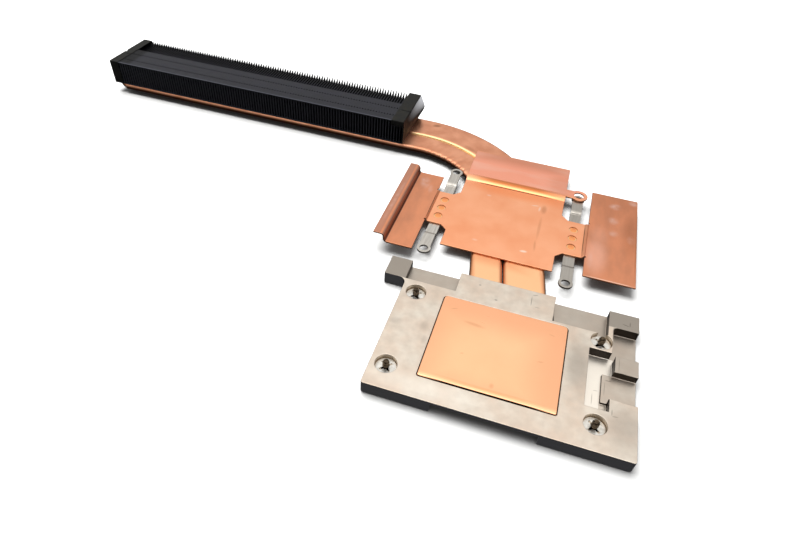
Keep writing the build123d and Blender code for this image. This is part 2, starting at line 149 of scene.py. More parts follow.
# Die-cast zinc, ground on top: pale satin metal with soft clouds, greyer where the cast skin is left
castZinc = {
    "ground": "#E4DACB",
    "cloudy": "#DCC8B5",
    "grainTone": "#C6B8A8",
    "castSkin": "#A0978C",
    # painted shade on the side walls, set by the way they face: darkest on faces turned to the left,
    # lighter on the front walls and in the screw pockets
    "wall": "#453F3A",
    "outer": "#98989C",
    "pocket": "#C9BAA7",
    "leftWall": "#241F1B",
    "bright": "#F7EFE2",
    "smudge": "#948A7F",
    "scratch": "#4E463E",
    "rough": {"To Min": 0.37, "To Max": 0.46},
    "bump": {"Distance": 0.012 * mm, "Strength": 0.6},
    # how far a face turns from straight up, or to the left, before it takes the painted wall shade
    "wallTilt": {"From Min": 0.5, "From Max": 0.2},
    "leftTilt": {"From Min": -0.5, "From Max": -0.8},
    "cloud": {"size": 9.0, "detail": 4.0},
    "grain": {"size": 2.6, "detail": 8.0, "range": (0.3, 1.0)},
    "skin": {"size": 0.45, "detail": 3.0, "range": (0.2, 0.8)},
    # prongs, ledges beside the tongue, the steps on the right, then two worn areas
    "castSkins": [
        {"at": (-36.7, 23.8), "size": (3.9, 4.6), "core": 0.95, "square": True, "strength": 1.0},
        {"at": (35.6, 24.8), "size": (4.7, 3.5), "core": 0.95, "square": True, "strength": 1.0},
        {"at": (-25.0, 23.8), "size": (8.4, 4.6), "core": 0.95, "square": True, "strength": 0.6},
        {"at": (22.6, 22.8), "size": (8.5, 5.5), "core": 0.95, "square": True, "strength": 0.6},
        {"at": (36.3, 15.7), "size": (4.0, 5.8), "core": 0.95, "square": True, "strength": 0.55},
        {"at": (36.8, 7.0), "size": (3.4, 3.1), "core": 0.95, "square": True, "strength": 0.6},
        {"at": (35.4, -1.0), "size": (5.0, 5.2), "core": 0.95, "square": True, "strength": 0.4},
        {"at": (23.5, 3.0), "size": (6.5, 14.0), "core": 0.1, "strength": 0.62},
        {"at": (37.0, -14.0), "size": (9.0, 11.0), "core": 0.1, "strength": 0.5},
    ],
    # the recess floor on the right, paler, and a painted highlight on the front left of the top
    "brights": [
        {"at": (28.2, 0.3), "size": (2.3, 10.6), "core": 0.95, "square": True, "strength": 0.8},
        {"at": (31.9, 7.4), "size": (1.7, 3.5), "core": 0.95, "square": True, "strength": 0.8},
        {"at": (-16.0, -19.5), "size": (24.0, 5.0), "strength": 0.35},
    ],
    # walls along the front and beside the left prong, where the painted wall shade is lighter
    "outers": [
        {"at": (0.0, -23.5), "size": (46.0, 1.0), "core": 0.9, "square": True},
        {"at": (-37.5, 19.4), "size": (4.6, 0.8), "core": 0.9, "square": True},
    ],
    # screw pockets, where the painted wall shade is lighter
    "pockets": [
        {"at": (x, y), "size": (3.6, 3.6), "core": 0.95}
        for x in (-28.3, 29.3) for y in (-15.3, 14.5)
    ],
    "smudges": [
        {"at": (-30.9, 0.9), "size": (3.2, 2.0), "turn": 20, "strength": 0.3},
        {"at": (-22.1, 1.6), "size": (1.8, 2.6), "strength": 0.3},
        {"at": (-20.6, -3.5), "size": (1.4, 2.2), "strength": 0.25},
        {"at": (-3.7, 19.9), "size": (0.7, 0.5), "strength": 0.7},
        {"at": (-9.8, 24.7), "size": (0.6, 0.5), "strength": 0.6},
        {"at": (8.2, 24.0), "size": (2.6, 3.6), "strength": 0.12},
    ],
    # fine lines on the tongue, the right prong and the steps
    "scratches": [
        {"at": (7.0, 23.4), "size": (0.17, 2.6), "core": 0.5, "turn": 2, "strength": 0.5},
        {"at": (7.9, 26.4), "size": (1.1, 0.16), "core": 0.5, "turn": 18, "strength": 0.5},
        {"at": (9.1, 21.2), "size": (1.1, 0.15), "core": 0.5, "turn": 3, "strength": 0.35},
        {"at": (36.1, 23.4), "size": (1.4, 0.17), "core": 0.5, "turn": -12, "strength": 0.6},
        {"at": (37.3, 24.1), "size": (0.17, 1.2), "core": 0.5, "strength": 0.6},
        {"at": (34.6, 6.9), "size": (0.14, 3.0), "core": 0.5, "strength": 0.35},
        {"at": (32.5, 2.1), "size": (1.2, 0.17), "core": 0.5, "turn": 5, "strength": 0.6},
        {"at": (31.5, -1.0), "size": (0.15, 3.0), "core": 0.5, "strength": 0.35},
        {"at": (28.5, -5.0), "size": (0.15, 2.5), "core": 0.5, "strength": 0.4},
        {"at": (29.3, -1.9), "size": (0.9, 0.14), "core": 0.5, "turn": 8, "strength": 0.35},
        {"at": (33.3, -10.2), "size": (0.17, 1.3), "core": 0.5, "strength": 0.45},
        {"at": (34.2, -11.3), "size": (1.0, 0.15), "core": 0.5, "turn": 8, "strength": 0.45},
    ],
}


def castZincMaterial():
    m = newMaterial("die-cast zinc, ground")
    place = addNode(m, "ShaderNodeTexCoord").outputs["Object"]
    cloud = cloudMask(m, place, castZinc["cloud"])
    skin = cloudMask(m, place, castZinc["skin"])
    left = markMask(m, place, castZinc["castSkins"])
    # painted shade: walls, and faces turned to the left, are darkened by the way they face
    facing = addNode(m, "ShaderNodeNewGeometry").outputs["True Normal"]
    sideways, _, upwards = addNode(m, "ShaderNodeSeparateXYZ", None, {0: facing}).outputs
    leftTurn = {"Value": sideways, **castZinc["leftTilt"]}
    leftWalls = addNode(m, "ShaderNodeMapRange", None, leftTurn).outputs[0]
    walls = addNode(m, "ShaderNodeMapRange", None, {"Value": upwards, **castZinc["wallTilt"]}).outputs[0]
    wallKinds = []
    for marks in ("outers", "pockets"):
        factors = {0: walls, 1: markMask(m, place, castZinc[marks])}
        wallKinds.append(addNode(m, "ShaderNodeMath", {"operation": "MULTIPLY"}, factors).outputs[0])
    outerWalls, pocketWalls = wallKinds
    colour = layered(m, hexColour(castZinc["ground"]), [
        (cloud, castZinc["cloudy"]),
        (cloudMask(m, place, castZinc["grain"]), castZinc["grainTone"]),
        (left, castZinc["castSkin"]),
        (markMask(m, place, castZinc["brights"]), castZinc["bright"]),
        (walls, castZinc["wall"]),
        (leftWalls, castZinc["leftWall"]),
        (outerWalls, castZinc["outer"]),
        (pocketWalls, castZinc["pocket"]),
        (markMask(m, place, castZinc["smudges"]), castZinc["smudge"]),
        (markMask(m, place, castZinc["scratches"]), castZinc["scratch"]),
    ])
    rough = addNode(m, "ShaderNodeMapRange", None, {"Value": left, **castZinc["rough"]})
    bump = addNode(m, "ShaderNodeBump", None, {"Height": skin, **castZinc["bump"]})
    return closeMaterial(m, {
        "Base Color": colour,
        "Metallic": 1.0,
        "Roughness": rough.outputs[0],
        "Normal": bump.outputs[0],
    })


# Bare copper, milled and lapped: bright and even, yellower in the middle, pink towards the edges
lappedCopper = {
    "edge": "#F6B489",
    "middle": "#FDC697",
    "smudge": "#E9A67A",
    "stain": "#C98A62",
    # painted shade on the rounded front edge and in the gap at its foot
    "round": "#D79A69",
    "foot": "#24150C",
    "rough": {"To Min": 0.27, "To Max": 0.33},
    "haze": 0.3,
    "cloud": {"size": 16.0, "detail": 4.0, "range": (0.3, 0.8)},
    "stains": [
        {"at": (-8.0, 7.2), "size": (4.5, 0.9), "turn": -6, "strength": 0.35},
        {"at": (1.1, -13.0), "size": (0.9, 1.2), "strength": 0.35},
        {"at": (12.8, -0.1), "size": (1.3, 0.25), "turn": 15, "strength": 0.5},
        {"at": (-9.1, -4.7), "size": (0.8, 0.25), "turn": 20, "strength": 0.45},
        {"at": (-15.1, 11.5), "size": (1.6, 0.3), "turn": 25, "strength": 0.4},
        {"at": (14.8, 11.1), "size": (1.4, 0.3), "turn": -12, "strength": 0.3},
    ],
    # painted shade over the rounded front edge, to narrow its highlight, and a painted shadow line in the
    # gap at its foot
    "rounds": [{"at": (0.0, -14.85), "size": (19.2, 0.85), "core": 0.0, "square": True, "strength": 0.5}],
    "feet": [{"at": (0.0, -16.02), "size": (19.2, 0.26), "core": 0.6, "square": True}],
    # lapping lines are far finer on the real block, drawn coarse to show
    "lap": {"size": 0.5, "detail": 2.0, "stretch": (0.06, 1, 1), "range": (0.2, 0.8)},
    "middles": [{"at": (-2.0, -3.0), "size": (19.5, 16.5), "core": 0.3, "square": True}],
}


def lappedCopperMaterial():
    m = newMaterial("lapped copper")
    place = addNode(m, "ShaderNodeTexCoord").outputs["Object"]
    cloud = cloudMask(m, place, lappedCopper["cloud"])
    lap = cloudMask(m, place, lappedCopper["lap"])
    colour = layered(m, hexColour(lappedCopper["edge"]), [
        (markMask(m, place, lappedCopper["middles"]), lappedCopper["middle"]),
    ])
    haze = addNode(m, "ShaderNodeMath", {"operation": "MULTIPLY"}, {0: cloud, 1: lappedCopper["haze"]})
    colour = layered(m, colour, [
        (haze.outputs[0], lappedCopper["smudge"]),
        (markMask(m, place, lappedCopper["stains"]), lappedCopper["stain"]),
        (markMask(m, place, lappedCopper["rounds"]), lappedCopper["round"]),
        (markMask(m, place, lappedCopper["feet"]), lappedCopper["foot"]),
    ])
    rough = addNode(m, "ShaderNodeMapRange", None, {"Value": lap, **lappedCopper["rough"]})
    return closeMaterial(m, {"Base Color": colour, "Metallic": 1.0, "Roughness": rough.outputs[0]})


# Bare copper tube pressed flat: salmon, yellower and cleaner where it was machined with the block
drawnCopper = {
    "light": "#F0AB86",
    "dark": "#DC9470",
    "clean": "#FFC795",
    "stain": "#A9704F",
    # painted shade on the pipes' sides
    "side": "#583222",
    "warm": "#F0905F",
    "rim": "#E08C60",
    "rubbed": "#FFDAA0",
    "warms": [{"at": (-8.0, 40.5), "size": (16.0, 6.0), "core": 0.2, "square": True, "strength": 0.5}],
    # painted shade on the rounded edges of the two pipes between the plate and the frame
    "rims": [
        {"at": (x, 34.0), "size": (half, 12.0), "core": core, "turn": 12, "square": True, "strength": 0.6}
        for x, half, core in ((-14.4, 1.4, 0.1), (-3.9, 1.9, 0.2), (9.7, 1.4, 0.1))
    ],
    # painted highlight on the line where the pipes meet in the bend
    "bendOut": [{"at": (-52.23, 64.41), "size": (44.3, 44.3), "core": 0.98}],
    "bendIn": [{"at": (-52.23, 64.41), "size": (42.6, 42.6), "core": 0.98}],
    "bendSpan": [{"at": (-25.0, 95.0), "size": (34.0, 25.0), "core": 0.9, "square": True}],
    "rough": {"To Min": 0.31, "To Max": 0.38},
    "sideTilt": {"From Min": 0.55, "From Max": 0.1},
    "cloud": {"size": 6.0, "detail": 4.0},
    # drawing lines, coarser than real so that they show
    "draw": {"size": 0.5, "detail": 2.0, "stretch": (1, 0.1, 1), "range": (0.2, 0.8)},
    "cleans": [{"at": (-3.0, 20.0), "size": (45.0, 30.0), "core": 0.7, "square": True}],
    "stains": [
        {"at": (-48.6, 117.2), "size": (2.6, 1.6), "turn": 15, "strength": 0.8},
        {"at": (-30.0, 104.0), "size": (6.0, 1.2), "turn": -35, "strength": 0.25},
    ],
}


def drawnCopperMaterial():
    m = newMaterial("drawn copper tube")
    place = addNode(m, "ShaderNodeTexCoord").outputs["Object"]
    cloud = cloudMask(m, place, drawnCopper["cloud"])
    draw = cloudMask(m, place, drawnCopper["draw"])
    # painted shade on the sides of the pipes, set by how far they turn from straight up
    facing = addNode(m, "ShaderNodeNewGeometry").outputs["True Normal"]
    upwards = addNode(m, "ShaderNodeSeparateXYZ", None, {0: facing}).outputs[2]
    sides = addNode(m, "ShaderNodeMapRange", None, {"Value": upwards, **drawnCopper["sideTilt"]}).outputs[0]
    # painted highlight where the two pipes meet in the bend
    discs = {0: markMask(m, place, drawnCopper["bendOut"]), 1: markMask(m, place, drawnCopper["bendIn"])}
    ring = addNode(m, "ShaderNodeMath", {"operation": "SUBTRACT"}, discs).outputs[0]
    span = {0: ring, 1: markMask(m, place, drawnCopper["bendSpan"])}
    rubbed = addNode(m, "ShaderNodeMath", {"operation": "MULTIPLY"}, span)
    colour = layered(m, hexColour(drawnCopper["light"]), [
        (cloud, drawnCopper["dark"]),
        (markMask(m, place, drawnCopper["cleans"]), drawnCopper["clean"]),
        (markMask(m, place, drawnCopper["warms"]), drawnCopper["warm"]),
        (markMask(m, place, drawnCopper["rims"]), drawnCopper["rim"]),
        (markMask(m, place, drawnCopper["stains"]), drawnCopper["stain"]),
        (sides, drawnCopper["side"]),
        (rubbed.outputs[0], drawnCopper["rubbed"]),
    ])
    rough = addNode(m, "ShaderNodeMapRange", None, {"Value": draw, **drawnCopper["rough"]})
    return closeMaterial(m, {"Base Color": colour, "Metallic": 1.0, "Roughness": rough.outputs[0]})


# Rolled copper sheet, bare: warm orange with soft clouds, browner in patches on the wings and smeared in
# places
rolledCopper = {
    "light": "#FFB68B",
    "dark": "#F8A679",
    "back": "#FFAB90",
    "warm": "#FB9458",
    "wing": "#DE916B",
    "handled": "#C08162",
    "lip": "#C58A70",
    "fold": "#C68B73",
    "clinch": "#FBA468",
    "clinchDark": "#9C5428",
    "clinchLight": "#FFDCA0",
    "pale": "#FFE3CE",
    "smear": "#E6BBAA",
    "crease": "#301405",
    "crown": "#C9743C",
    "streak": "#FFC4AC",
    "seam": "#38201A",
    "stain": "#A9653F",
    "rough": {"To Min": 0.29, "To Max": 0.37},
    "polish": {"To Min": 1.0, "To Max": 0.5},
    "cloud": {"size": 14.0, "detail": 4.0},
    "handling": {"size": 5.0, "detail": 6.0, "stretch": (1, 0.45, 1), "range": (0.38, 0.85)},
    "mottle": {"size": 3.2, "detail": 6.0, "range": (0.3, 0.8)},
    "streaks": {"size": 5.0, "detail": 3.0, "stretch": (0.25, 1, 1), "range": (0.45, 0.8)},
    # rolling lines, coarser than real so that they show
    "rolling": {"size": 0.5, "detail": 3.0, "stretch": (1, 0.07, 1), "range": (0.2, 0.8)},
    "backs": [{"at": (-5.0, 94.0), "size": (26.0, 10.0), "core": 0.8, "square": True, "strength": 0.8}],
    "warms": [{"at": (-6.0, 80.5), "size": (26.0, 6.0), "core": 0.3, "strength": 0.6}],
    "wings": [
        {"at": (-43.0, 62.0), "size": (7.8, 46.0), "core": 0.93, "square": True, "strength": 0.85},
        {"at": (31.5, 70.0), "size": (10.6, 40.0), "core": 0.95, "square": True, "strength": 0.95},
    ],
    "lips": [{"at": (-49.5, 62.0), "size": (2.6, 46.0), "core": 0.9, "square": True}],
    # painted shade along the lip's fold and inner wall
    "folds": [{"at": (-45.6, 62.0), "size": (0.85, 46.0), "core": 0.6, "square": True}],
    # three clinches on each neck, each a painted shade on the upper rim, a painted highlight on the lower
    # rim and a flat middle
    "clinchPlaces": [(x, y) for x in (-31.9, 16.5) for y in (55.75, 60.75, 65.75)],
    "clinchRings": [
        {"colour": "clinchDark", "up": 0.14, "size": 1.62, "core": 0.88, "strength": 0.6},
        {"colour": "clinchLight", "up": -0.22, "size": 1.6, "core": 0.9, "strength": 0.9},
        {"colour": "clinch", "up": 0.06, "size": 1.32, "core": 0.8, "strength": 1.0},
    ],
    # painted shade at the foot and on the crown of the pressed step
    "creases": [{"at": (-7.9, 81.9), "size": (19.6, 0.28), "core": 0.5, "square": True, "strength": 0.9}],
    "crowns": [{"at": (-7.9, 84.2), "size": (19.6, 1.5), "core": 0.4, "square": True, "strength": 0.85}],
    # painted shade along the fold lines of the lip and of the necks
    "seams": [
        {"at": (-45.2, 62.0), "size": (0.3, 46.0), "core": 0.4, "square": True, "strength": 0.8},
        {"at": (-35.6, 60.0), "size": (0.2, 9.2), "core": 0.4, "square": True, "strength": 0.55},
        {"at": (20.4, 61.0), "size": (0.2, 9.6), "core": 0.4, "square": True, "strength": 0.6},
    ],
    "blushes": [
        {"at": (25.0, 53.0), "size": (5.5, 14.0), "strength": 0.45},
        {"at": (25.5, 64.0), "size": (4.5, 9.0), "strength": 0.2},
    ],
    "presses": [{"at": (-7.9, 83.6), "size": (19.6, 2.4), "core": 0.7, "square": True}],
    "pales": [
        {"at": (1.3, 75.0), "size": (1.9, 0.5), "turn": 14, "strength": 0.55},
        {"at": (3.1, 73.5), "size": (0.55, 2.2), "turn": -3, "strength": 0.5},
        {"at": (0.9, 47.0), "size": (1.7, 0.8), "turn": 8, "core": 0.3, "strength": 0.85},
        {"at": (-16.6, 74.9), "size": (1.3, 0.8), "strength": 0.35},
        {"at": (-16.3, 47.0), "size": (1.4, 0.8), "strength": 0.3},
        {"at": (30.0, 41.5), "size": (9.2, 0.3), "core": 0.4, "square": True, "strength": 0.45},
    ],
    "smears": [
        {"at": (30.5, 84.6), "size": (3.2, 2.6), "turn": 30},
        {"at": (30.0, 75.4), "size": (2.6, 3.0), "strength": 0.9},
        {"at": (30.4, 67.8), "size": (2.4, 2.4), "strength": 0.8},
        {"at": (37.0, 89.2), "size": (2.6, 2.2), "strength": 0.9},
        {"at": (36.6, 66.0), "size": (2.0, 3.0), "strength": 0.7},
        {"at": (23.2, 50.0), "size": (1.4, 6.0), "strength": 0.5},
        {"at": (-41.6, 73.0), "size": (2.6, 5.5), "turn": 14, "strength": 0.9},
        {"at": (-38.5, 69.5), "size": (1.4, 4.0), "turn": 8, "strength": 0.6},
        {"at": (-48.0, 54.0), "size": (0.9, 20.0), "turn": -1.3, "strength": 0.6},
    ],
    "stains": [
        {"at": (4.7, 73.6), "size": (1.5, 3.6), "strength": 0.4},
        {"at": (31.0, 88.0), "size": (16.0, 17.0), "strength": 0.22},
        {"at": (4.4, 62.0), "size": (0.8, 9.0), "strength": 0.25},
        {"at": (4.2, 51.5), "size": (0.6, 4.0), "turn": 4, "strength": 0.28},
        # painted shade: the back panel darker towards its back edge
        {"at": (-8.0, 103.5), "size": (30.0, 9.0), "square": True, "strength": 0.42},
        {"at": (9.5, 91.0), "size": (8.0, 14.0), "strength": 0.2},
        {"at": (36.6, 70.0), "size": (4.6, 24.0), "core": 0.1, "strength": 0.4},
        {"at": (38.5, 66.2), "size": (0.7, 25.6), "core": 0.3, "square": True, "strength": 0.5},
        {"at": (30.0, 91.0), "size": (9.2, 0.6), "core": 0.3, "square": True, "strength": 0.45},
    ],
}


def rolledCopperMaterial():
    m = newMaterial("rolled copper sheet")
    place = addNode(m, "ShaderNodeTexCoord").outputs["Object"]
    cloud = cloudMask(m, place, rolledCopper["cloud"])
    rolling = cloudMask(m, place, rolledCopper["rolling"])
    wings = markMask(m, place, rolledCopper["wings"])
    backs = markMask(m, place, rolledCopper["backs"])
    smears = markMask(m, place, rolledCopper["smears"])
    # the wings' browner patches, smears and streaks are broken up by their own blotches
    broken = []
    for mask, blotches in ((wings, "handling"), (smears, "mottle"), (backs, "streaks")):
        factors = {0: mask, 1: cloudMask(m, place, rolledCopper[blotches])}
        broken.append(addNode(m, "ShaderNodeMath", {"operation": "MULTIPLY"}, factors).outputs[0])
    handled, smeared, streaked = broken
    colour = layered(m, hexColour(rolledCopper["light"]), [
        (cloud, rolledCopper["dark"]),
        (backs, rolledCopper["back"]),
        (streaked, rolledCopper["streak"]),
        (markMask(m, place, rolledCopper["warms"]), rolledCopper["warm"]),
        (wings, rolledCopper["wing"]),
        (handled, rolledCopper["handled"]),
        (markMask(m, place, rolledCopper["lips"]), rolledCopper["lip"]),
        (markMask(m, place, rolledCopper["pales"]), rolledCopper["pale"]),
        (markMask(m, place, rolledCopper["blushes"]), rolledCopper["streak"]),
        (markMask(m, place, rolledCopper["stains"]), rolledCopper["stain"]),
        (smeared, rolledCopper["smear"]),
        (markMask(m, place, rolledCopper["folds"]), rolledCopper["fold"]),
        (markMask(m, place, rolledCopper["seams"]), rolledCopper["seam"]),
        (markMask(m, place, rolledCopper["crowns"]), rolledCopper["crown"]),
        (markMask(m, place, rolledCopper["creases"]), rolledCopper["crease"]),
    ])
    for ring in rolledCopper["clinchRings"]:
        discs = [{**ring, "at": (x, y + ring["up"]), "size": (ring["size"], ring["size"])}
                 for x, y in rolledCopper["clinchPlaces"]]
        colour = layered(m, colour, [(markMask(m, place, discs), rolledCopper[ring["colour"]])])
    sheen = addNode(m, "ShaderNodeMapRange", None, {"Value": rolling, **rolledCopper["rough"]}).outputs[0]
    # the press tool polished the step
    polish = {"Value": markMask(m, place, rolledCopper["presses"]), **rolledCopper["polish"]}
    share = addNode(m, "ShaderNodeMapRange", None, polish).outputs[0]
    rough = addNode(m, "ShaderNodeMath", {"operation": "MULTIPLY"}, {0: sheen, 1: share})
    return closeMaterial(m, {"Base Color": colour, "Metallic": 1.0, "Roughness": rough.outputs[0]})


# Stamped stainless spring steel: light grey with fine brushing along the strip
springSteel = {
    "light": "#D3CEC5",
    "dark": "#B1ABA2",
    "dull": "#9A938A",
    "rough": {"To Min": 0.3, "To Max": 0.4},
    "dulls": [{"at": (16.5, 60.0), "size": (8.0, 40.0), "core": 0.9, "square": True, "strength": 0.6}],
    # brushing, coarser than real so that it shows
    "brushing": {"size": 0.7, "detail": 3.0, "stretch": (1, 0.08, 1), "range": (0.25, 0.75)},
}


def springSteelMaterial():
    m = newMaterial("stamped spring steel")
    place = addNode(m, "ShaderNodeTexCoord").outputs["Object"]
    brushing = cloudMask(m, place, springSteel["brushing"])
    colour = layered(m, hexColour(springSteel["light"]), [
        (brushing, springSteel["dark"]),
        (markMask(m, place, springSteel["dulls"]), springSteel["dull"]),
    ])
    rough = addNode(m, "ShaderNodeMapRange", None, {"Value": brushing, **springSteel["rough"]})
    return closeMaterial(m, {"Base Color": colour, "Metallic": 1.0, "Roughness": rough.outputs[0]})


# Black painted fin sheet: satin, slightly blue, dusty in places
finPaint = {
    "black": "#101013",
    "dusty": "#151519",
    "open": "#020203",
    "front": "#26272C",
    "rough": {"To Min": 0.4, "To Max": 0.52},
    "gloss": 0.14,
    # painted sheen on the front edges of the sheets
    "fronts": [{"at": (-128.0, 96.6), "size": (71.0, 0.6), "core": 0.9, "square": True}],
    "dust": {"size": 5.0, "detail": 5.0, "range": (0.4, 0.75)},
    # painted shade in the open channels at the left end and behind the strip
    "opens": [
        {"at": (-192.0, 109.6), "size": (3.4, 14.0), "core": 0.8, "square": True},
        {"at": (-128.0, 120.2), "size": (71.0, 3.6), "core": 0.9, "square": True, "strength": 0.8},
    ],
}


def finPaintMaterial():
    m = newMaterial("black painted sheet")
    place = addNode(m, "ShaderNodeTexCoord").outputs["Object"]
    dust = cloudMask(m, place, finPaint["dust"])
    colour = layered(m, hexColour(finPaint["black"]), [
        (dust, finPaint["dusty"]),
        (markMask(m, place, finPaint["opens"]), finPaint["open"]),
        (markMask(m, place, finPaint["fronts"]), finPaint["front"]),
    ])
    rough = addNode(m, "ShaderNodeMapRange", None, {"Value": dust, **finPaint["rough"]})
    return closeMaterial(m, {
        "Base Color": colour,
        "Roughness": rough.outputs[0],
        "Specular IOR Level": finPaint["gloss"],
    })


# Black polyester film with glue behind it: smooth, a little glossy, uneven where it does not stick
filmTape = {
    "black": "#0B0B0A",
    "worn": "#13120F",
    # painted sheen where the slack film turns up at a slant
    "dusty": "#9A9CA0",
    "rough": {"To Min": 0.4, "To Max": 0.55},
    "gloss": 0.08,
    "bump": {"Distance": 0.04 * mm, "Strength": 0.5},
    "dustTilts": [{"From Min": 0.1, "From Max": 0.4}, {"From Min": 0.9, "From Max": 0.7}],
    "dusts": [{"at": (-56.9, 112.0), "size": (1.45, 14.0), "core": 0.95, "square": True}],
    "wear": {"size": 2.5, "detail": 4.0, "range": (0.4, 0.7)},
    "waves": {"size": 1.6, "detail": 2.0, "range": (0.2, 0.8)},
}


def filmTapeMaterial():
    m = newMaterial("black polyester film")
    place = addNode(m, "ShaderNodeTexCoord").outputs["Object"]
    wear = cloudMask(m, place, filmTape["wear"])
    waves = cloudMask(m, place, filmTape["waves"])
    # painted sheen on the slack film where it is turned up at a slant
    facing = addNode(m, "ShaderNodeNewGeometry").outputs["True Normal"]
    upwards = addNode(m, "ShaderNodeSeparateXYZ", None, {0: facing}).outputs[2]
    dust = markMask(m, place, filmTape["dusts"])
    for tilt in filmTape["dustTilts"]:
        share = addNode(m, "ShaderNodeMapRange", None, {"Value": upwards, **tilt}).outputs[0]
        dust = addNode(m, "ShaderNodeMath", {"operation": "MULTIPLY"}, {0: dust, 1: share}).outputs[0]
    colour = layered(m, hexColour(filmTape["black"]), [(wear, filmTape["worn"]), (dust, filmTape["dusty"])])
    rough = addNode(m, "ShaderNodeMapRange", None, {"Value": wear, **filmTape["rough"]})
    bump = addNode(m, "ShaderNodeBump", None, {"Height": waves, **filmTape["bump"]})
    return closeMaterial(m, {
        "Base Color": colour,
        "Roughness": rough.outputs[0],
        "Specular IOR Level": filmTape["gloss"],
        "Normal": bump.outputs[0],
    })


# Plated steel screw, browned: dark bronze with paler worn crests
screwSteel = {
    "light": "#6A5B4A",
    "dark": "#241D17",
    "rough": 0.35,
    "wear": {"size": 0.8, "detail": 3.0},
}


def screwSteelMaterial():
    m = newMaterial("plated steel screw")
    place = addNode(m, "ShaderNodeTexCoord").outputs["Object"]
    wear = cloudMask(m, place, screwSteel["wear"])
    colour = layered(m, hexColour(screwSteel["dark"]), [(wear, screwSteel["light"])])
    return closeMaterial(m, {"Base Color": colour, "Metallic": 1.0, "Roughness": screwSteel["rough"]})


# Zinc plated spring washer: pale grey, almost white where it catches the light
washerZinc = {
    "light": "#E8E4DC",
    "dark": "#CBC6BC",
    "rough": 0.4,
    "cloud": {"size": 1.2, "detail": 3.0},
}


def washerZincMaterial():
    m = newMaterial("zinc plated washer")
    place = addNode(m, "ShaderNodeTexCoord").outputs["Object"]
    cloud = cloudMask(m, place, washerZinc["cloud"])
    colour = layered(m, hexColour(washerZinc["dark"]), [(cloud, washerZinc["light"])])
    return closeMaterial(m, {"Base Color": colour, "Metallic": 1.0, "Roughness": washerZinc["rough"]})


corners = ("front_left", "rear_left", "front_right", "rear_right")
tubeCopper = drawnCopperMaterial()
blackFilm = filmTapeMaterial()
blackPaint = finPaintMaterial()
screwMetal = screwSteelMaterial()
finishes = {
    castZincMaterial(): ["mounting_frame"],
    lappedCopperMaterial(): ["contact_block"],
    tubeCopper: ["heat_pipe_narrow", "heat_pipe_wide"],
    rolledCopperMaterial(): ["cpu_plate"],
    springSteelMaterial(): ["spring_arm_left", "spring_arm_right"],
    blackPaint: ["cooling_fins"],
    blackFilm: ["end_tape_left", "end_tape_right"],
    screwMetal: ["captive_screw_" + corner for corner in corners],
    washerZincMaterial(): ["screw_retainer_" + corner for corner in corners],
}
for material, names in finishes.items():
    for name in names:
        nodes[name].data.materials.clear()
        nodes[name].data.materials.append(material)
print("finishes on the nodes")


# Broken edges, in millimetres
softEdges = {
    "mounting_frame": 0.14,
    "contact_block": 0.1,
    "cpu_plate": 0.14,
    "spring_arm_left": 0.08,
    "spring_arm_right": 0.08,
}
edgeBreak = {"flatDegrees": 0.5, "fromDegrees": 35, "segments": 2}
for name, width in softEdges.items():
    piece = nodes[name]
    weld = piece.modifiers.new("merge corners", "WELD")
    weld.merge_threshold = mergeGap
    flats = piece.modifiers.new("join flats", "DECIMATE")
    flats.decimate_type = "DISSOLVE"
    flats.angle_limit = math.radians(edgeBreak["flatDegrees"])
    bevel = piece.modifiers.new("soft edges", "BEVEL")
    bevel.width = width * mm
    bevel.segments = edgeBreak["segments"]
    bevel.angle_limit = math.radians(edgeBreak["fromDegrees"])
    bevel.use_clamp_overlap = False
    shade = piece.modifiers.new("even shade", "WEIGHTED_NORMAL")
    shade.keep_sharp = True
print("edges softened")


def makePiece(name, bm, material, node, body=rootBody):
    # a new piece that stands for a CAD node and rides on its body
    mesh = bpy.data.meshes.new(name)
    bm.to_mesh(mesh)
    bm.free()
    piece = bpy.data.objects.new(name, mesh)
    piece.data.materials.append(material)
    bpy.context.scene.collection.objects.link(piece)
    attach(piece, body)
    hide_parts(node)
    return piece


def smoothFaces(bm, degrees):
    # smooth shading, with a sharp edge where two faces meet at more than this
    for face in bm.faces:
        face.smooth = True
    for edge in bm.edges:
        edge.smooth = len(edge.link_faces) == 2 and edge.calc_face_angle() < math.radians(degrees)


# Screws with a rolled thread over the turned core, in millimetres
thread = {
    "places": {"front_left": (-28.3, -15.3), "rear_left": (-28.3, 14.5),
               "front_right": (29.3, -15.3), "rear_right": (29.3, 14.5)},
    "low": -1.5,
    "tip": 0.9,
    "cone": 0.35,
    "pitch": 0.42,
    "root": 0.8,
    "crest": 1.0,
    "foot": 0.34,
    "land": 0.06,
    "sunk": 0.04,
    "stepsPerTurn": 18,
    "smoothDegrees": 30,
}


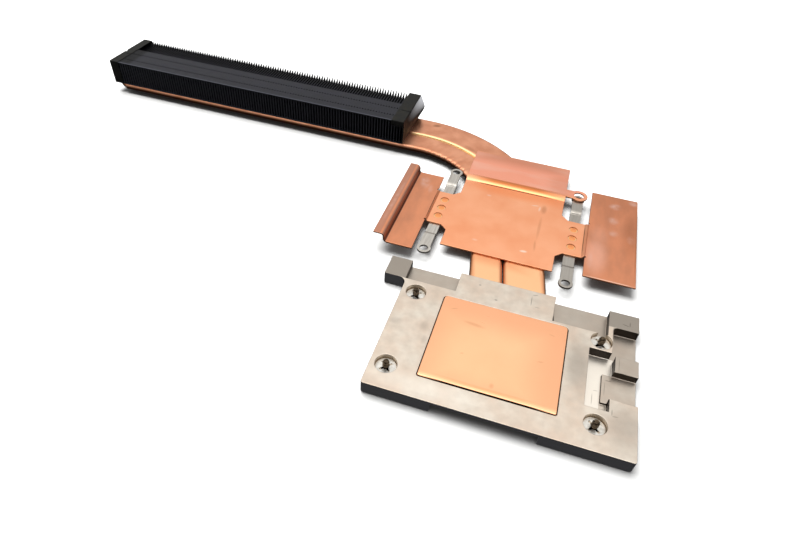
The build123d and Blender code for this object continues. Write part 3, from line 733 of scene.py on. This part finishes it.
def threadedScrew(corner, x, y):
    bm = bmesh.new()
    bm.from_mesh(nodes["captive_screw_" + corner].data)
    bmesh.ops.remove_doubles(bm, verts=bm.verts, dist=mergeGap)
    axis = Vector((x, y)) * mm
    root = thread["root"] * mm
    for vert in bm.verts:
        away = vert.co.xy - axis
        if vert.co.z > (thread["low"] - tiny) * mm and away.length > root:
            vert.co.xy = axis + away.normalized() * root
    # the ridge is a small section wound up the core
    start = thread["low"] + thread["foot"] / 2
    rise = thread["tip"] - thread["cone"] - thread["foot"] / 2 - start
    turns = rise / thread["pitch"]
    steps = round(turns * thread["stepsPerTurn"])
    sunk = thread["root"] - thread["sunk"]
    outline = ((sunk, -thread["foot"] / 2), (thread["crest"], -thread["land"] / 2),
               (thread["crest"], thread["land"] / 2), (sunk, thread["foot"] / 2))
    section = [bm.verts.new(((x + reach) * mm, y * mm, (start + up) * mm)) for reach, up in outline]
    rim = [bm.edges.new((section[i], section[i - 1])) for i in range(len(section))]
    bmesh.ops.spin(bm, geom=section + rim, cent=(x * mm, y * mm, 0), axis=(0, 0, 1),
                   dvec=(0, 0, rise * mm / steps), angle=turns * 2 * math.pi, steps=steps)
    ends = [edge for edge in bm.edges if edge.is_boundary]
    bmesh.ops.holes_fill(bm, edges=ends, sides=4)
    bmesh.ops.recalc_face_normals(bm, faces=bm.faces)
    smoothFaces(bm, thread["smoothDegrees"])
    name = "threaded_screw_" + corner
    makePiece(name, bm, screwMetal, "captive_screw_" + corner, "screw_" + corner)


for corner, (x, y) in thread["places"].items():
    threadedScrew(corner, x, y)
print("threaded screws")


# Inner pipe with the wrinkles that the bend pressed into its inner edge; angles about the bend's centre
wrinkles = {
    "centre": (-52.23, 64.41),
    "innerRadius": 31.7,
    "reach": 2.6,
    "from": 40.0,
    "to": 88.0,
    "step": 0.75,
    "pitch": 4.65,
    "depth": 0.4,
    "drop": 0.2,
    "fade": 8.0,
    "steep": 1.6,
    "mean": 0.7,
    "uneven": 0.9,
    "unevenPitch": 4.0,
    "topAbove": -1.9,
    "smoothDegrees": 40,
}
bm = bmesh.new()
bm.from_mesh(nodes["heat_pipe_narrow"].data)
bmesh.ops.remove_doubles(bm, verts=bm.verts, dist=mergeGap)
centre = Vector((*wrinkles["centre"], 0)) * mm
angle = wrinkles["from"]
while angle < wrinkles["to"]:
    across = Vector((-math.sin(math.radians(angle)), math.cos(math.radians(angle)), 0))
    geom = bm.verts[:] + bm.edges[:] + bm.faces[:]
    bmesh.ops.bisect_plane(bm, geom=geom, plane_co=centre, plane_no=across)
    angle += wrinkles["step"]
for vert in bm.verts:
    out = (vert.co - centre).to_2d()
    turned = math.degrees(math.atan2(out.y, out.x))
    inside = 1 - (out.length / mm - wrinkles["innerRadius"]) / wrinkles["reach"]
    if not wrinkles["from"] < turned < wrinkles["to"] or inside <= 0:
        continue
    ends = min(turned - wrinkles["from"], wrinkles["to"] - turned) / wrinkles["fade"]
    wave = 0.5 + 0.5 * math.cos(2 * math.pi * turned / wrinkles["pitch"])
    chance = noise.noise(Vector((turned / wrinkles["unevenPitch"], 0, 0)))
    uneven = wrinkles["mean"] + wrinkles["uneven"] * chance
    dent = min(ends, 1) * wave ** 2 * uneven * min(inside * wrinkles["steep"], 1) * mm
    vert.co.xy += out.normalized() * dent * wrinkles["depth"]
    if vert.co.z > wrinkles["topAbove"] * mm:
        vert.co.z -= dent * wrinkles["drop"]
bmesh.ops.recalc_face_normals(bm, faces=bm.faces)
smoothFaces(bm, wrinkles["smoothDegrees"])
pipe = makePiece("wrinkled_pipe", bm, tubeCopper, "heat_pipe_narrow")
shade = pipe.modifiers.new("even shade", "WEIGHTED_NORMAL")
shade.keep_sharp = True
print("wrinkled pipe")


# Fins cut lower behind the strip, so that each rises to a small tooth at the back; in millimetres
teeth = {
    "from": 111.8,
    "lead": 0.15,
    "foot": 120.2,
    "to": 122.55,
    "top": 9.5,
    "drop": 1.4,
    "pitch": 1.225,
    "sheet": 0.2,
    "curl": 0.16,
}
bm = bmesh.new()
bm.from_mesh(nodes["cooling_fins"].data)
bmesh.ops.remove_doubles(bm, verts=bm.verts, dist=mergeGap)
rightEnd = max(vert.co.x for vert in bm.verts)
for y in (teeth["from"], teeth["from"] + teeth["lead"], teeth["foot"], teeth["to"]):
    geom = bm.verts[:] + bm.edges[:] + bm.faces[:]
    bmesh.ops.bisect_plane(bm, geom=geom, plane_co=(0, y * mm, 0), plane_no=(0, 1, 0))
for vert in bm.verts:
    y = vert.co.y / mm
    cutTop = teeth["top"] - teeth["drop"] * min((teeth["to"] - y) / (teeth["to"] - teeth["foot"]), 1)
    if not teeth["from"] + tiny < y < teeth["to"] - tiny or vert.co.z < cutTop * mm:
        continue
    vert.co.z = cutTop * mm
    # each sheet is curled a little at the tooth's foot
    fromEnd = (rightEnd - vert.co.x) / mm
    if abs(y - teeth["foot"]) < tiny and fromEnd > teeth["pitch"] / 2:
        onLeft = (fromEnd + teeth["sheet"]) % teeth["pitch"] > teeth["sheet"] * 1.5
        vert.co.x += (-teeth["curl"] if onLeft else teeth["curl"]) * mm
makePiece("toothed_fins", bm, blackPaint, "cooling_fins")
print("toothed fins")


# Film folded over the ends of the stack: slit on top, slack at the end face; sizes in millimetres
tapes = {
    "left": {
        "low": (-198.45, 96.44, -0.5),
        "high": (-194.25, 122.735, 9.7),
        "outside": -1,
        "frontDrop": 10.2,
        "slit": (-196.45, -194.0),
        "notch": {"y": 108.4, "half": 0.9, "deep": 1.3, "drop": 0.8},
        "slack": 0.0,
    },
    "right": {
        "low": (-63.73, 96.44, -0.5),
        "high": (-58.43, 122.735, 9.7),
        "outside": 1,
        "frontDrop": 2.2,
        "slit": (-62.43, -58.0),
        "slack": 2.6,
    },
}
film = {
    "thick": 0.14,
    "cuts": 19,
    "slitY": (105.94, 106.29),
    "ragged": 0.25,
    "raggedPerMm": 0.9,
    "raggedShift": 0.2,
    "fold": 0.3,
    "foldSegments": 3,
    "foldDegrees": 50,
    "smoothDegrees": 30,
    "bellyFlat": 0.15,
    "bellyFront": 0.12,
    "bellyRise": 1.5,
}


def foldedTape(side, tape):
    low, high = Vector(tape["low"]), Vector(tape["high"])
    bm = bmesh.new()
    bmesh.ops.create_cube(bm, size=1.0)
    bmesh.ops.scale(bm, verts=bm.verts, vec=high - low)
    bmesh.ops.translate(bm, verts=bm.verts, vec=(low + high) / 2)
    # open below and towards the fins
    openSides = [face for face in bm.faces if min(face.normal.z, face.normal.x * tape["outside"]) < -0.5]
    bmesh.ops.delete(bm, geom=openSides, context="FACES")
    bmesh.ops.subdivide_edges(bm, edges=bm.edges[:], cuts=film["cuts"], use_grid_fill=True)
    # cut lines of the slit and of the short front flap, then what lies between them goes
    flapLow = high.z - tape["frontDrop"]
    cuts = [((0, y, 0), (0, 1, 0)) for y in film["slitY"]] + [((x, 0, 0), (1, 0, 0)) for x in tape["slit"]]
    cuts.append(((0, 0, flapLow), (0, 0, 1)))
    inner = low.x if tape["outside"] > 0 else high.x
    outer = high.x if tape["outside"] > 0 else low.x
    notch = tape.get("notch")
    if notch:
        apex = (outer - notch["deep"] * tape["outside"], notch["y"], 0)
        cuts.append((apex, (notch["half"], notch["deep"], 0)))
        cuts.append((apex, (notch["half"], -notch["deep"], 0)))
        cuts.append(((0, 0, high.z - notch["drop"]), (0, 0, 1)))
    for point, across in cuts:
        geom = bm.verts[:] + bm.edges[:] + bm.faces[:]
        bmesh.ops.bisect_plane(bm, geom=geom, plane_co=point, plane_no=across)
    gone = []
    for face in bm.faces:
        at = face.calc_center_median()
        inSlit = film["slitY"][0] < at.y < film["slitY"][1] and tape["slit"][0] < at.x < tape["slit"][1]
        onFront = at.y < low.y + tiny and at.z < flapLow
        inNotch = False
        if notch and at.z > high.z - notch["drop"]:
            near = 1 - abs(at.y - notch["y"]) / notch["half"]
            inNotch = near > abs(at.x - outer) / notch["deep"]
        if (inSlit and at.z > high.z - tiny) or onFront or inNotch:
            gone.append(face)
    bmesh.ops.delete(bm, geom=gone, context="FACES")
    for vert in bm.verts:
        x, y, z = vert.co
        up = (z - low.z) / (high.z - low.z)
        back = (y - low.y) / (high.y - low.y)
        if abs(x - inner) < tiny:
            # hand-cut edge
            chance = noise.noise(Vector((y * film["raggedPerMm"], z * film["raggedPerMm"], 0)))
            vert.co.x += film["ragged"] * (chance - film["raggedShift"]) * tape["outside"]
        if abs(x - outer) < tiny and up > 0.001:
            # the film stands off the end fin, most at mid height towards the back
            tent = min(up / 0.5, (1 - up) / 0.5)
            towardsBack = film["bellyFront"] + (1 - film["bellyFront"]) * back ** film["bellyRise"]
            belly = (tent - film["bellyFlat"] * tent ** 4) * towardsBack
            vert.co.x += tape["slack"] * belly * tape["outside"]
    bmesh.ops.scale(bm, verts=bm.verts, vec=(mm, mm, mm))
    smoothFaces(bm, film["smoothDegrees"])
    piece = makePiece("film_tape_" + side, bm, blackFilm, "end_tape_" + side)
    folds = piece.modifiers.new("folds", "BEVEL")
    folds.width = film["fold"] * mm
    folds.segments = film["foldSegments"]
    folds.angle_limit = math.radians(film["foldDegrees"])
    wall = piece.modifiers.new("film", "SOLIDIFY")
    wall.thickness = film["thick"] * mm
    wall.offset = -1
    shade = piece.modifiers.new("even shade", "WEIGHTED_NORMAL")
    shade.keep_sharp = True


for side, tape in tapes.items():
    foldedTape(side, tape)
print("film tapes")


# Stage: pale floor under the frame's foot
stage = {"floorMetres": 4.0, "floor": "#ABABAA", "rough": 0.9}
floorMaterial = newMaterial("pale floor")
closeMaterial(floorMaterial, {
    "Base Color": hexColour(stage["floor"]),
    "Roughness": stage["rough"],
    "Specular IOR Level": 0.0,
})
bm = bmesh.new()
bmesh.ops.create_grid(bm, x_segments=1, y_segments=1, size=stage["floorMetres"] / 2)
bmesh.ops.translate(bm, verts=bm.verts, vec=(0, 0, cadBox[0][2]))
floorMesh = bpy.data.meshes.new("floor")
bm.to_mesh(floorMesh)
bm.free()
floor = bpy.data.objects.new("floor", floorMesh)
floor.data.materials.append(floorMaterial)
bpy.context.scene.collection.objects.link(floor)
floor.visible_glossy = False

# Light: one broad soft box overhead that reaches down behind the part, angles from the back horizon
dome = {
    "strength": 3.2,
    "levels": [(0, 0.3), (15, 0.45), (25, 0.66), (35, 0.92), (45, 1.12), (55, 1.25), (70, 1.45), (85, 1.8),
               (93, 2.4), (98, 3.2), (105, 3.2), (111, 1.0), (118, 0.45), (135, 0.3), (180, 0.2)],
    "sideLoss": 0.45,
    "leftGain": 0.15,
    "below": 0.33,
    "horizon": {"From Min": -0.02, "From Max": 0.04},
}
world = bpy.data.worlds.new("soft box dome")
world.use_nodes = True
world.node_tree.nodes.clear()
bpy.context.scene.world = world
heading = addNode(world, "ShaderNodeTexCoord").outputs["Generated"]
parts = addNode(world, "ShaderNodeSeparateXYZ", None, {0: heading}).outputs
angle = addNode(world, "ShaderNodeMath", {"operation": "ARCTAN2"}, {0: parts[2], 1: parts[1]}).outputs[0]
turn = addNode(world, "ShaderNodeMapRange", None, {"Value": angle, "From Max": math.pi}).outputs[0]
ramp = addNode(world, "ShaderNodeValToRGB", None, {0: turn})
stops = ramp.color_ramp.elements
stops.remove(stops[1])
for degrees, level in dome["levels"]:
    stop = stops[0] if degrees == 0 else stops.new(degrees / 180)
    grey = level / dome["strength"]
    stop.color = (grey, grey, grey, 1)
side = addNode(world, "ShaderNodeMath", {"operation": "MULTIPLY"}, {0: parts[0], 1: parts[0]}).outputs[0]
kept = addNode(world, "ShaderNodeMapRange", None, {
    "Value": side,
    "To Min": dome["strength"],
    "To Max": dome["strength"] * (1 - dome["sideLoss"]),
}).outputs[0]
lean = addNode(world, "ShaderNodeMapRange", None, {
    "Value": parts[0],
    "From Min": -1.0,
    "To Min": 1 + dome["leftGain"],
    "To Max": 1 - dome["leftGain"],
}).outputs[0]
above = addNode(world, "ShaderNodeMapRange", None, {
    "Value": parts[2],
    "To Min": dome["below"],
    **dome["horizon"],
}).outputs[0]
strength = kept
for share in (lean, above):
    factors = {0: strength, 1: share}
    strength = addNode(world, "ShaderNodeMath", {"operation": "MULTIPLY"}, factors).outputs[0]
sky = addNode(world, "ShaderNodeBackground", None, {"Color": ramp.outputs[0], "Strength": strength})
addNode(world, "ShaderNodeOutputWorld", None, {"Surface": sky.outputs[0]})

# One large soft lamp overhead, a little behind and to the left, for the short shadows on the floor;
# the metals mirror the dome alone
lamp = {"place": (-190, 190, 560), "target": (-60, 40, 0), "size": 560, "power": 13.5}
light = bpy.data.lights.new("soft lamp", "AREA")
light.shape = "DISK"
light.size = lamp["size"] * mm
light.energy = lamp["power"]
lampObject = bpy.data.objects.new("soft lamp", light)
lampObject.location = Vector(lamp["place"]) * mm
lampAim = Vector(lamp["target"]) - Vector(lamp["place"])
lampObject.rotation_euler = lampAim.to_track_quat("-Z", "Y").to_euler()
lampObject.visible_glossy = False
bpy.context.scene.collection.objects.link(lampObject)

# Camera where the photograph was taken from, in millimetres
view = {
    "place": (-2.248, -109.855, 128.133),
    "target": (-34.666, 17.916, -0.3),
    "lean": 4.644,
    "lens": 25.854,
    "sensor": 36,
    "nearest": 10,
}
camera = bpy.data.objects.new("camera", bpy.data.cameras.new("camera"))
camera.data.sensor_width = view["sensor"]
camera.data.lens = view["lens"]
camera.data.clip_start = view["nearest"] * mm
camera.location = Vector(view["place"]) * mm
aim = (Vector(view["target"]) - Vector(view["place"])).to_track_quat("-Z", "Y")
camera.rotation_mode = "QUATERNION"
camera.rotation_quaternion = aim @ Quaternion((0, 0, 1), math.radians(view["lean"]))
bpy.context.scene.collection.objects.link(camera)
bpy.context.scene.camera = camera
bpy.context.scene.view_settings.view_transform = "Standard"
print("floor, lights and camera")
